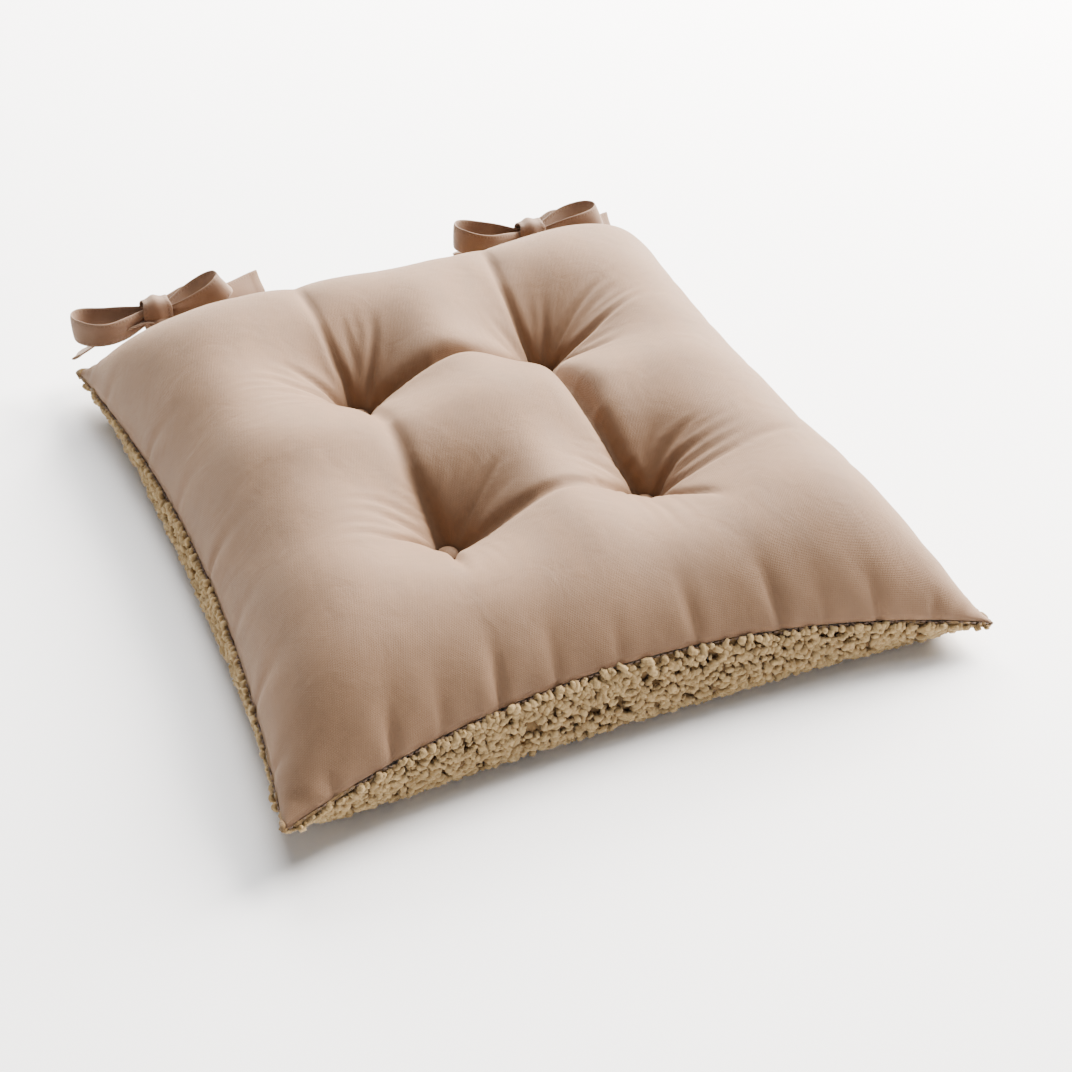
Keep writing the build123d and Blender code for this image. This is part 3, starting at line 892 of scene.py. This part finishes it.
# The filling: a crowned closed form just inside the two panels
def makeFill():
    s, t = edgeCrowded(filling["cells"], filling["crowding"])
    u, v = s * filling["share"], t * filling["share"]
    upper = topTarget(u, v)
    lower = underShape(u, v, filling["inset"], filling["seamDrop"])
    reach = filling["reach"]
    spread = np.pad(upper[..., 2], reach, "edge")
    for across in range(2 * reach + 1):
        for along in range(2 * reach + 1):
            nearby = spread[across:across + s.shape[0], along:along + s.shape[1]]
            upper[..., 2] = np.minimum(upper[..., 2], nearby)
    upper = upper - [0, 0, filling["belowCloth"]]
    lower = lower + [0, 0, filling["aboveBacking"]]
    upper[..., 2] = np.maximum(upper[..., 2], lower[..., 2] + filling["thinnest"])
    count = s.size
    rows, columns = s.shape
    faces = gridFaces(rows, columns)
    k = np.arange(count).reshape(rows, columns)
    rim = np.concatenate([k[:-1, 0], k[-1, :-1], k[:0:-1, -1], k[0, :0:-1]])
    onward = np.roll(rim, -1)
    sides = np.stack([rim, rim + count, onward + count, onward], axis=-1)
    points = np.concatenate([upper.reshape(-1, 3), lower.reshape(-1, 3)])
    return points, np.concatenate([faces, faces[:, ::-1] + count, sides])


fibreFill = place("fibreFill", meshFrom("fibreFill", *makeFill()), finishes["filling"])
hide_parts("fibre_fill")
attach(fibreFill, "pad")
print("top cloth and filling made")


random = np.random.default_rng(23)
s, t = edgeCrowded(under["cells"], 2.1)
base = underShape(s, t, under["inset"], under["seamDrop"])
baseNormal = -gridNormals(base)
wobble = np.zeros(s.shape)
for _ in range(26):
    wave = random.normal(0, 1, 3)
    wave *= random.uniform(380, 900) / np.linalg.norm(wave)
    wobble += np.sin(base @ wave + random.uniform(0, 2 * math.pi))
edgeShare = np.maximum(abs(s), abs(t))
lump = under["lump"] * wobble / 5 * (edgeShare < 1)
lumpy = base + baseNormal * lump[..., None]
lumpy[..., 2] = np.maximum(lumpy[..., 2], 0.0006)
basePoints, baseFaces = shellOf(lumpy[:, ::-1], under["backing"])
sherpaBase = place("sherpaBase", meshFrom("sherpaBase", basePoints, baseFaces), backing)
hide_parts("sherpa_under_panel")
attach(sherpaBase, "pad")

curl = {
    "templates": 14,
    "steps": 9,
    "round": 5,
    "loop": 0.00118,
    "thick": 0.00128,
    "sideDensity": 0.20e6,
    "underDensity": 0.040e6,
    "flankHeight": 0.0042,
}


# Small twisted loops of yarn, with the share of the way from root to tip at each point
def curlTemplates():
    shapes = []
    for _ in range(curl["templates"]):
        turn = np.linspace(-0.25 * math.pi, random.uniform(1.25, 1.9) * math.pi, curl["steps"])
        loop = curl["loop"] * random.uniform(0.75, 1.15)
        lean = random.uniform(-0.7, 0.7)
        x = loop * np.cos(turn)
        z = loop * (0.55 + np.sin(turn) * random.uniform(0.7, 1.0))
        y = np.linspace(-1, 1, len(turn)) * loop * random.uniform(0.15, 0.7)
        x, y = x * math.cos(lean) - z * math.sin(lean) * 0.4, y
        line = np.stack([x, y, z], axis=-1)
        heading = np.gradient(line, axis=0)
        heading /= np.linalg.norm(heading, axis=-1, keepdims=True)
        side = np.cross(heading, [0.3, 1.0, 0.2])
        side /= np.linalg.norm(side, axis=-1, keepdims=True)
        rise = np.cross(side, heading)
        fat = curl["thick"] * random.uniform(0.85, 1.2) * (0.82 + 0.18
                                                           * np.sin(np.linspace(0, math.pi, len(turn))))
        fat = fat * (1 + 0.22 * np.sin(np.linspace(0, random.uniform(9, 16), len(turn))
                                       + random.uniform(0, 6)))
        fat[[0, -1]] *= 0.45
        spin = np.linspace(0, 2 * math.pi, curl["round"], endpoint=False)
        ring = side[:, None] * np.cos(spin)[None, :, None] + rise[:, None] * np.sin(spin)[None, :, None]
        ring = ring * random.uniform(0.86, 1.14, ring.shape[:2])[..., None]
        points = line[:, None] + ring * fat[:, None, None]
        height = points[..., 2]
        share = (height - height.min()) / (height.max() - height.min())
        shapes.append((points.reshape(-1, 3), share.ravel()))
    return shapes


def curlFaces():
    steps, around = curl["steps"], curl["round"]
    k = np.arange(steps * around).reshape(steps, around)
    nextRound = np.roll(k, -1, axis=1)
    tube = np.stack([k[:-1], nextRound[:-1], nextRound[1:], k[1:]], axis=-1).reshape(-1, 4)
    return tube


# Places on the under panel, at random, with the way the surface faces there
def scatter(density):
    corner = [base[:-1, :-1], base[1:, :-1], base[1:, 1:], base[:-1, 1:]]
    normal = np.cross(corner[2] - corner[0], corner[1] - corner[3])
    area = np.linalg.norm(normal, axis=-1) / 2
    facing = normal / np.maximum(2 * area, 1e-12)[..., None]
    counts = random.poisson(area * density)
    i, j = np.nonzero(counts)
    repeat = counts[i, j]
    i, j = np.repeat(i, repeat), np.repeat(j, repeat)
    a, b = random.random(len(i))[:, None], random.random(len(i))[:, None]
    spot = (corner[0][i, j] * (1 - a) * (1 - b) + corner[1][i, j] * a * (1 - b)
            + corner[2][i, j] * a * b + corner[3][i, j] * (1 - a) * b)
    return spot, facing[i, j], s[i, j], t[i, j]


def growCurls():
    cellZ = (base[:-1, :-1, 2] + base[1:, 1:, 2]) / 2
    cellShare = np.maximum(abs(s[:-1, :-1]), abs(t[:-1, :-1]))
    flank = (cellZ > curl["flankHeight"]) & (cellShare > 0.8)
    density = np.where(flank, curl["sideDensity"], curl["underDensity"])
    spot, facing, su, tv = scatter(density)
    shapes = curlTemplates()
    which = random.integers(0, len(shapes), len(spot))
    form = np.array([shape for shape, _ in shapes])[which]
    share = np.array([height for _, height in shapes])[which]
    size = random.uniform(0.75, 1.45, len(spot))
    onFlank = spot[:, 2] > curl["flankHeight"]
    size = np.where(onFlank, size, size * 1.25)
    spin = random.uniform(0, 2 * math.pi, len(spot))
    tilt = facing + random.normal(0, 0.33, facing.shape)
    tilt /= np.linalg.norm(tilt, axis=-1, keepdims=True)
    aside = np.cross(tilt, np.where(abs(tilt[:, 2:]) < 0.9, [[0, 0, 1.0]], [[1.0, 0, 0]]))
    aside /= np.linalg.norm(aside, axis=-1, keepdims=True)
    ahead = np.cross(tilt, aside)
    first = aside * np.cos(spin)[:, None] + ahead * np.sin(spin)[:, None]
    second = ahead * np.cos(spin)[:, None] - aside * np.sin(spin)[:, None]
    form = form * size[:, None, None]
    points = (spot[:, None] + form[..., :1] * first[:, None] + form[..., 1:2] * second[:, None]
              + (form[..., 2:] + 0.0004) * tilt[:, None])
    points[..., 2] = np.maximum(points[..., 2], 0.0)
    tone = np.clip(random.normal(0.5, 0.2, len(spot)), 0, 1)
    return points, share, tone, su, tv, onFlank


curlPoints, curlShare, curlTone, su, tv, onFlank = growCurls()
tube = curlFaces()
endways = abs(tv) > abs(su)
parts = {
    "pileFront": onFlank & endways & (tv < 0),
    "pileRear": onFlank & endways & (tv >= 0),
    "pileLeft": onFlank & ~endways & (su < 0),
    "pileRight": onFlank & ~endways & (su >= 0),
    "pileUnderFront": ~onFlank & (tv < 0),
    "pileUnderRear": ~onFlank & (tv >= 0),
}
for name, chosen in parts.items():
    points = curlPoints[chosen]
    per = points.shape[1]
    faces = (tube[None] + (np.arange(len(points)) * per)[:, None, None]).reshape(-1, 4)
    marks = {"tip": curlShare[chosen].ravel(), "tone": np.repeat(curlTone[chosen], per)}
    piece = place(name, meshFrom(name, points.reshape(-1, 3), faces, marks), finishes["sherpa"])
    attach(piece, "pad")
    print(name, len(points), "curls")


seam = {"pitch": 0.0038, "stitch": 0.0030, "thick": 0.00042, "drop": 0.0009, "out": 0.0002}


# Places all round the seam
def seamLine(count):
    w = np.linspace(-1, 1, count, endpoint=False)
    u = np.concatenate([w, np.ones(count), -w, -np.ones(count)])
    v = np.concatenate([-np.ones(count), w, np.ones(count), -w])
    side, end = pulls(u, v)
    x, y = u * (halfWidth - side), v * (halfDepth - end)
    line = np.stack([x, y, seamHeight(u, v)], axis=-1)
    line = line - gatherShift(u, v)
    return line


def gatherShift(u, v):
    return np.stack([0 * u, 0 * u, gatherDepth(u, v) * 0.35], axis=-1)


def makeSeamStitches():
    line = seamLine(400)
    line = np.vstack([line, line[:1]])
    run = np.concatenate([[0], np.cumsum(np.linalg.norm(np.diff(line, axis=0), axis=1))])
    starts = np.arange(0.002, run[-1] - seam["pitch"], seam["pitch"])
    steps, around = 7, 6
    share = np.linspace(0, 1, steps)
    spots = starts[:, None] + share[None] * seam["stitch"]
    path = np.stack([np.interp(spots, run, line[:, k]) for k in range(3)], axis=-1)
    heading = np.gradient(path, axis=1)
    heading /= np.linalg.norm(heading, axis=-1, keepdims=True)
    outward = np.cross(heading, [0, 0, 1.0])
    outward /= np.linalg.norm(outward, axis=-1, keepdims=True)
    rise = np.cross(outward, heading)
    bow = np.sin(math.pi * share)[None, :, None]
    path = path + outward * (seam["out"] + 0.0005 * bow) - [0, 0, seam["drop"]]
    fat = seam["thick"] * np.sqrt(np.clip(1.02 - (2 * share - 1) ** 6, 0.05, 1))[None, :, None, None]
    spin = np.linspace(0, 2 * math.pi, around, endpoint=False)
    ring = outward[:, :, None] * np.cos(spin)[None, None, :,
                                              None] + rise[:, :, None] * np.sin(spin)[None, None, :, None]
    points = path[:, :, None] + ring * fat
    k = np.arange(steps * around).reshape(steps, around)
    after = np.roll(k, -1, axis=1)
    tubeFaces = np.stack([k[:-1], after[:-1], after[1:], k[1:]], axis=-1).reshape(-1, 4)
    faces = (tubeFaces[None] + (np.arange(len(starts)) * steps * around)[:, None, None]).reshape(-1, 4)
    return points.reshape(-1, 3), faces


seamStitches = place("seamStitches", meshFrom("seamStitches", *makeSeamStitches()),
                     finishes["sewing_thread"])
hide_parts("edge_seam_thread")
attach(seamStitches, "pad")
print("sherpa made")


tape = {"width": 0.016, "thick": 0.0015, "across": 12, "hem": 0.006, "hemThick": 0.0007}
lifted = {"left": {"left": 0.001, "right": 0.0125}, "right": {"left": 0.0095, "right": 0.006}}


def centreOf(node):
    low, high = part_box(node)
    return np.array([(a + b) / 2 for a, b in zip(low, high)])


# A smooth line of evenly spaced points through the places
def smoothLine(places, count):
    places = np.array(places, float)
    ends = np.vstack([2 * places[0] - places[1], places, 2 * places[-1] - places[-2]])
    line = []
    for a, b, c, d in zip(ends, ends[1:], ends[2:], ends[3:]):
        t = np.linspace(0, 1, 24, endpoint=False)[:, None]
        line.append(0.5 * (2 * b + (c - a) * t + (2 * a - 5 * b + 4 * c - d) * t ** 2
                           + (3 * b - a - 3 * c + d) * t ** 3))
    line = np.vstack([*line, places[-1:]])
    run = np.concatenate([[0], np.cumsum(np.linalg.norm(np.diff(line, axis=0), axis=1))])
    even = np.linspace(0, run[-1], count)
    return np.stack([np.interp(even, run, line[:, k]) for k in range(3)], axis=-1)


# A tape along a line. across holds the way to its edge at each point, wide its share of the full
# width there, and ripple how far each place is pushed off the tape's own plane
def makeTape(name, line, across, wide=None, ripple=None, closed=False, hemmed=False):
    count = len(line)
    if closed:
        heading = np.roll(line, -1, axis=0) - np.roll(line, 1, axis=0)
    else:
        heading = np.gradient(line, axis=0)
    heading /= np.linalg.norm(heading, axis=1, keepdims=True)
    across = across - heading * np.sum(across * heading, axis=1, keepdims=True)
    across /= np.linalg.norm(across, axis=1, keepdims=True)
    out = np.cross(across, heading)
    wide = np.ones(count) if wide is None else wide
    over = np.linspace(-1, 1, tape["across"] + 1)
    run = np.concatenate([[0], np.cumsum(np.linalg.norm(np.diff(line, axis=0), axis=1))])
    middle = line[:, None] + across[:, None] * (over[None, :, None] * wide[:, None, None]
                                                * tape["width"] / 2)
    if ripple is not None:
        middle = middle + out[:, None] * ripple[..., None]
    half = tape["thick"] / 2 * np.sqrt(np.maximum(1 - 0.72 * over ** 8, 0))[None, :] * np.ones((count, 1))
    if hemmed:
        half = half + tape["hemThick"] * (run[-1] - run < tape["hem"])[:, None] / 2
        half[-1] *= 0.6
    upper = middle + out[:, None] * half[..., None]
    lower = middle - out[:, None] * half[..., None]
    loop = np.concatenate([upper, lower[:, ::-1]], axis=1)
    columns = loop.shape[1]
    k = np.arange(count * columns).reshape(count, columns)
    k = np.hstack([k, k[:, :1]])
    if closed:
        k = np.vstack([k, k[:1]])
    faces = np.stack([k[:-1, :-1], k[:-1, 1:], k[1:, 1:], k[1:, :-1]], axis=-1).reshape(-1, 4)
    if not closed:
        side = tape["across"]
        first = np.arange(columns)
        last = first + (count - 1) * columns
        caps = []
        for ring, turned in ((first, False), (last, True)):
            for a in range(side):
                square = [ring[a], ring[2 * side + 1 - a], ring[2 * side - a], ring[a + 1]]
                caps.append(square if turned else square[::-1])
        faces = np.concatenate([faces, np.array(caps)[:, ::-1]])
    overs = np.concatenate([over, over[::-1]])
    flat = np.stack(np.broadcast_arrays(overs[None] * tape["width"] / 2, run[:, None], overs[None]),
                    axis=-1)
    points = loop.reshape(-1, 3)
    mesh = meshFrom(name, points, faces, {"flatCut": flat.reshape(-1, 3)})
    piece = place(name, mesh, finishes["tie_tape"])
    smooth = piece.modifiers.new("round", "SUBSURF")
    smooth.levels = smooth.render_levels = 1
    return piece, float(run[-1])


# Works a piece's modifiers into its mesh
def settle(piece):
    view = bpy.context.view_layer
    view.objects.active = piece
    piece.select_set(True)
    for modifier in list(piece.modifiers):
        bpy.ops.object.modifier_apply(modifier=modifier.name)
    piece.select_set(False)


loopForm = {
    "left": {"left": {"tip": 0.0515, "swell": 0.0150, "lean": -6, "cant": 0, "sag": -0.003},
             "right": {"tip": 0.0440, "swell": 0.0105, "lean": -16, "cant": 40, "sag": -0.001}},
    "right": {"left": {"tip": 0.0530, "swell": 0.0150, "lean": -8, "cant": 8, "sag": -0.001},
              "right": {"tip": 0.0500, "swell": 0.0110, "lean": -14, "cant": 24, "sag": 0.001}},
}


def makeLoop(hand, way, knot):
    sign = -1 if way == "left" else 1
    form = loopForm[hand][way]
    turn = np.linspace(0.02, 2 * math.pi - 0.02, 72)
    reach = (1 - np.cos(turn)) / 2
    x = 0.002 + form["tip"] * reach ** 0.92
    y = form["swell"] * np.sin(turn) * reach ** 0.75 + 0.0012 * np.cos(turn / 2)
    away = np.clip((x - 0.0095) / (form["tip"] - 0.0095), 0, 1)
    z = lifted[hand][way] * away ** 1.15 + form["sag"] * np.sin(math.pi * away)
    line = knot + np.stack([sign * x, y, z], axis=-1)
    lean = np.radians(form["lean"]) * away
    cant = np.radians(form["cant"]) * away
    up = np.stack([-sign * np.sin(cant), -np.sin(lean), np.cos(lean) * np.cos(cant)], axis=-1)
    narrow = 1 - 0.30 * np.exp(-((np.maximum(x - 0.008, 0) / 0.011) ** 2))
    over = np.linspace(-1, 1, tape["across"] + 1)
    pinch = np.exp(-np.maximum(x - 0.0085, 0) / 0.010)
    phase = 0.8 if way == "left" else 2.1
    ripple = 0.0011 * pinch[:, None] * np.cos(over[None] * 4.4 + phase)
    ripple = ripple + 0.0007 * np.sin(turn[:, None] * 3.3 + over[None] * 1.4 + phase) * (1 - pinch[:, None])
    name = f"{hand}Tie{way.capitalize()}Loop"
    piece, length = makeTape(name, line, up, narrow, ripple)
    settle(piece)
    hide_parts(f"{hand}_tie_{way}_loop")
    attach(piece, f"{hand}_tie")


wrap = {"points": 56, "halfDeep": 0.0056, "halfHigh": 0.0094, "squareness": 0.62, "swell": 0.0013}


def makeKnot(hand, knot):
    turn = np.linspace(0, 2 * math.pi, wrap["points"], endpoint=False)
    y = wrap["halfDeep"] * np.sign(np.cos(turn)) * abs(np.cos(turn)) ** wrap["squareness"]
    z = wrap["halfHigh"] * np.sign(np.sin(turn)) * abs(np.sin(turn)) ** wrap["squareness"]
    line = knot + np.stack([0 * turn, y, z], axis=-1)
    sideways = np.tile([1.0, 0.0, 0.0], (len(turn), 1))
    wide = 1.12 + 0.07 * np.cos(2 * turn) + 0.03 * np.sin(3 * turn)
    over = np.linspace(-1, 1, tape["across"] + 1)
    fold = np.cos(over[None] * 5.2 + 0.5 * np.sin(turn[:, None])) * (0.00055 + 0.00025
                                                                     * np.sin(2 * turn[:, None]))
    swell = wrap["swell"] * (1 - over[None] ** 2)
    piece, length = makeTape(f"{hand}TieKnot", line, sideways, wide, -(fold + swell), closed=True)
    settle(piece)
    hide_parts(f"{hand}_tie_knot")
    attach(piece, f"{hand}_tie")


# Each tail's run from the knot: x, y, z, and how much of its fall it has by then
tail = {
    "left": [(0.000, -0.0016, -0.0046, 0), (-0.011, -0.0024, -0.0030, 0), (-0.028, -0.0012, 0, 0.42),
             (-0.043, 0.0004, 0, 0.70), (-0.056, 0.0036, 0, 1)],
    "right": [(0.003, 0.0034, 0.001, 0), (0.011, 0.0078, 0, 0), (0.026, 0.0145, 0, 0.06),
              (0.048, 0.0190, 0, 0.74)],
    "pastBox": (0.014, 0.001),  # the right tail ends this far past its CAD box in x and y
    "fall": {"left": {"left": -0.0215, "right": -0.0125}, "right": {"left": -0.0045, "right": -0.024}},
    "points": 46,
    "twist": -34,
    "rootLean": 6,
    "tipLean": 26,
    "ripple": 0.0013,
    "pinch": 0.22,
    "pinchLong": 0.14,
}


def makeTail(hand, way, knot):
    fall = tail["fall"][hand][way]
    places = [knot + [x, y, z + fall * fallen] for x, y, z, fallen in tail[way]]
    if way == "right":
        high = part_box(f"{hand}_tie_{way}_tail")[1]
        past = tail["pastBox"]
        places.append([high[0] + past[0], high[1] + past[1], knot[2] + fall])
    line = smoothLine(places, tail["points"])
    share = np.linspace(0, 1, len(line))
    if way == "right":
        lean = np.radians(tail["twist"] * share ** 1.5)
        up = np.stack([0 * share, -np.sin(lean), np.cos(lean)], axis=-1)
    else:
        turned = np.sin(np.clip(share * 1.6, 0, 1) * math.pi / 2)
        lean = np.radians(tail["rootLean"] + tail["tipLean"] * turned)
        up = np.stack([0 * share, -np.cos(lean), np.sin(lean)], axis=-1)
    over = np.linspace(-1, 1, tape["across"] + 1)
    ripple = tail["ripple"] * np.sin(share[:, None] * 7.5 + over[None] * 1.2) * share[:, None]
    narrow = 1 - tail["pinch"] * np.exp(-share / tail["pinchLong"])
    name = f"{hand}Tie{way.capitalize()}Tail"
    piece, length = makeTape(name, line, up, narrow, ripple, hemmed=True)
    settle(piece)
    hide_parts(f"{hand}_tie_{way}_tail")
    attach(piece, f"{hand}_tie_{way}_tail")


strap = {
    "run": [(0, -0.0085, -0.0006), (0, -0.003, 0.0), (0, 0.004, 0.0016), (0, 0.010, 0.0055),
            (0, 0.0155, 0.0100)],
    "points": 34,
    "apart": 0.0008,
    "bendFrom": (0, -0.002, 0),
    "bendTo": (0, 0.006, 0.002),
}


def makeStraps(hand, root):
    line = smoothLine([root + place for place in np.array(strap["run"])], strap["points"])
    sideways = np.tile([1.0, 0.0, 0.0], (len(line), 1))
    share = np.linspace(0, 1, len(line))
    over = np.linspace(-1, 1, tape["across"] + 1)
    ripple = 0.0007 * share[:, None] * np.cos(over[None] * 4.0)
    narrow = 1 - 0.12 * share ** 2
    for name, level, lift in (("Strap", "upper", strap["apart"]), ("StrapLower", "lower", -strap["apart"])):
        out = np.array([0, -0.35, 0.94]) * lift
        piece, length = makeTape(f"{hand}Tie{name}", line + out, sideways, narrow, ripple)
        settle(piece)
        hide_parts(f"{hand}_tie_strap_{level}", f"{hand}_tie_sewn_end_{level}")
        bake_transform(piece)


for hand in ("left", "right"):
    knot = centreOf(f"{hand}_tie_knot")
    joint = next(j for j in frame["joints"] if j["name"] == f"{hand}_tie_swing")
    root = np.array(joint["pos_m"] if "pos_m" in joint else joint["pos"])
    makeStraps(hand, root)
    makeKnot(hand, knot)
    for way in ("left", "right"):
        makeLoop(hand, way, knot)
    for way in ("left", "right"):
        makeTail(hand, way, knot)
print("ties made")
